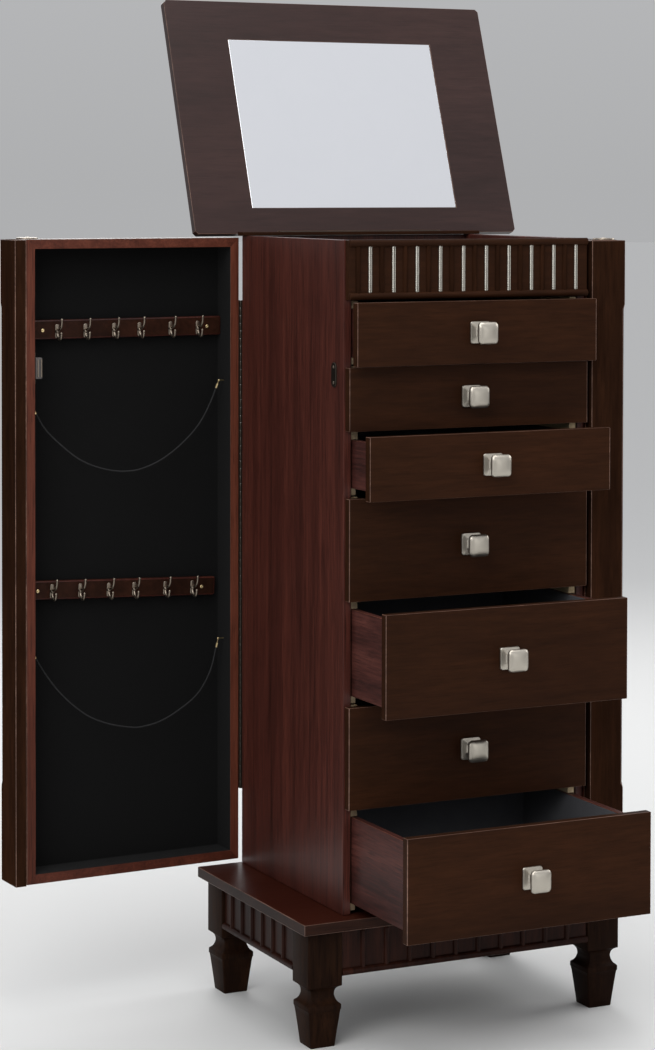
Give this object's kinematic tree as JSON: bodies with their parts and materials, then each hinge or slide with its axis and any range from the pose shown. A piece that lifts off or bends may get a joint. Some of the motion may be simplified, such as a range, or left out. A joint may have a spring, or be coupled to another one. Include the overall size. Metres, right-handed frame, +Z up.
{
  "type": "jewellery chest with drawers",
  "caption": "Standing jewellery chest on four legs, with a mirrored lift-up lid, stacked drawers and two side doors for hanging necklaces.",
  "frame": {"origin": "bottom centre of the bounding box at rest, on the floor", "axes": "+Z up, -Y towards the front where the drawers open, +X to the right seen from the front"},
  "size_m": [0.7322, 0.6168, 1.2952],
  "materials": {
    "espresso_wood": "satin lacquer",
    "mahogany_veneer": "satin lacquer",
    "felt_lined_board": "felt covered",
    "raw_wood": "unfinished",
    "brushed_nickel": "brushed nickel plate",
    "hinge_steel": "dark plated",
    "mirror_glass": "silvered",
    "elastic_cord": "woven cover",
    "brass": "bright"
  },
  "bodies": {
    "carcass": {"base_slab": "espresso_wood", "front_frame": "espresso_wood", "back_frame": "espresso_wood", "apron_left": "espresso_wood", "apron_right": "espresso_wood", "side_panel_left": "mahogany_veneer", "side_panel_right": "mahogany_veneer", "back_panel": "mahogany_veneer", "frieze": "espresso_wood", "tray": "felt_lined_board", "rear_rail": "espresso_wood", "left_runners": "raw_wood", "right_runners": "raw_wood", "lid_hinge_fixed_leaf": "hinge_steel", "left_hinge_fixed_leaf": "hinge_steel", "right_hinge_fixed_leaf": "hinge_steel", "strike_plate_left": "brushed_nickel", "strike_plate_right": "brushed_nickel"},
    "lid": {"lid_panel": "espresso_wood", "lid_mirror": "mirror_glass", "lid_hinge_moving_leaf": "hinge_steel"},
    "left_door": {"left_pilaster": "espresso_wood", "left_door_box": "mahogany_veneer", "left_hook_rail_upper": "mahogany_veneer", "left_hook_rail_lower": "mahogany_veneer", "left_catch": "hinge_steel", "left_hinge_moving_leaf": "hinge_steel", "left_cord_upper": "elastic_cord", "left_cord_lower": "elastic_cord", "cord_upper_hinge_end": "brass", "cord_upper_free_end": "brass", "cord_lower_hinge_end": "brass", "cord_lower_free_end": "brass"},
    "right_door": {"right_pilaster": "espresso_wood", "right_door_box": "mahogany_veneer", "right_hook_rail_upper": "mahogany_veneer", "right_hook_rail_lower": "mahogany_veneer", "right_catch": "hinge_steel", "right_hinge_moving_leaf": "hinge_steel"},
    "drawer_1": {"drawer_1_front": "espresso_wood", "drawer_1_box": "mahogany_veneer", "drawer_1_knob": "brushed_nickel"},
    "drawer_2": {"drawer_2_front": "espresso_wood", "drawer_2_box": "mahogany_veneer", "drawer_2_knob": "brushed_nickel"},
    "drawer_3": {"drawer_3_front": "espresso_wood", "drawer_3_box": "mahogany_veneer", "drawer_3_knob": "brushed_nickel"},
    "drawer_4": {"drawer_4_front": "espresso_wood", "drawer_4_box": "mahogany_veneer", "drawer_4_knob": "brushed_nickel"},
    "drawer_5": {"drawer_5_front": "espresso_wood", "drawer_5_box": "mahogany_veneer", "drawer_5_knob": "brushed_nickel"},
    "drawer_6": {"drawer_6_front": "espresso_wood", "drawer_6_box": "mahogany_veneer", "drawer_6_knob": "brushed_nickel"},
    "drawer_7": {"drawer_7_front": "espresso_wood", "drawer_7_box": "mahogany_veneer", "drawer_7_knob": "brushed_nickel"}
  },
  "joints": [
    {"name": "lid_hinge", "type": "hinge", "parent": "carcass", "child": "lid", "pos_m": [0.12759, 0.18618, 0.9866], "axis": [-1, 0, 0], "range_deg": [-109.5, 0]},
    {"name": "left_door_hinge", "type": "hinge", "parent": "carcass", "child": "left_door", "pos_m": [-0.04741, 0.18598, 0.577], "axis": [0, 0, -1], "range_deg": [-87.2, 32.8]},
    {"name": "right_door_hinge", "type": "hinge", "parent": "carcass", "child": "right_door", "pos_m": [0.29458, 0.18598, 0.577], "axis": [0, 0, 1], "range_deg": [0, 120]},
    {"name": "drawer_1_slide", "type": "slide", "parent": "carcass", "child": "drawer_1", "axis": [0, -1, 0], "range_m": [-0.0213, 0.2137]},
    {"name": "drawer_2_slide", "type": "slide", "parent": "carcass", "child": "drawer_2", "axis": [0, -1, 0], "range_m": [0, 0.235]},
    {"name": "drawer_3_slide", "type": "slide", "parent": "carcass", "child": "drawer_3", "axis": [0, -1, 0], "range_m": [-0.055, 0.18]},
    {"name": "drawer_4_slide", "type": "slide", "parent": "carcass", "child": "drawer_4", "axis": [0, -1, 0], "range_m": [0, 0.235]},
    {"name": "drawer_5_slide", "type": "slide", "parent": "carcass", "child": "drawer_5", "axis": [0, -1, 0], "range_m": [-0.0976, 0.1374]},
    {"name": "drawer_6_slide", "type": "slide", "parent": "carcass", "child": "drawer_6", "axis": [0, -1, 0], "range_m": [0, 0.235]},
    {"name": "drawer_7_slide", "type": "slide", "parent": "carcass", "child": "drawer_7", "axis": [0, -1, 0], "range_m": [-0.1534, 0.0816]}
  ]
}
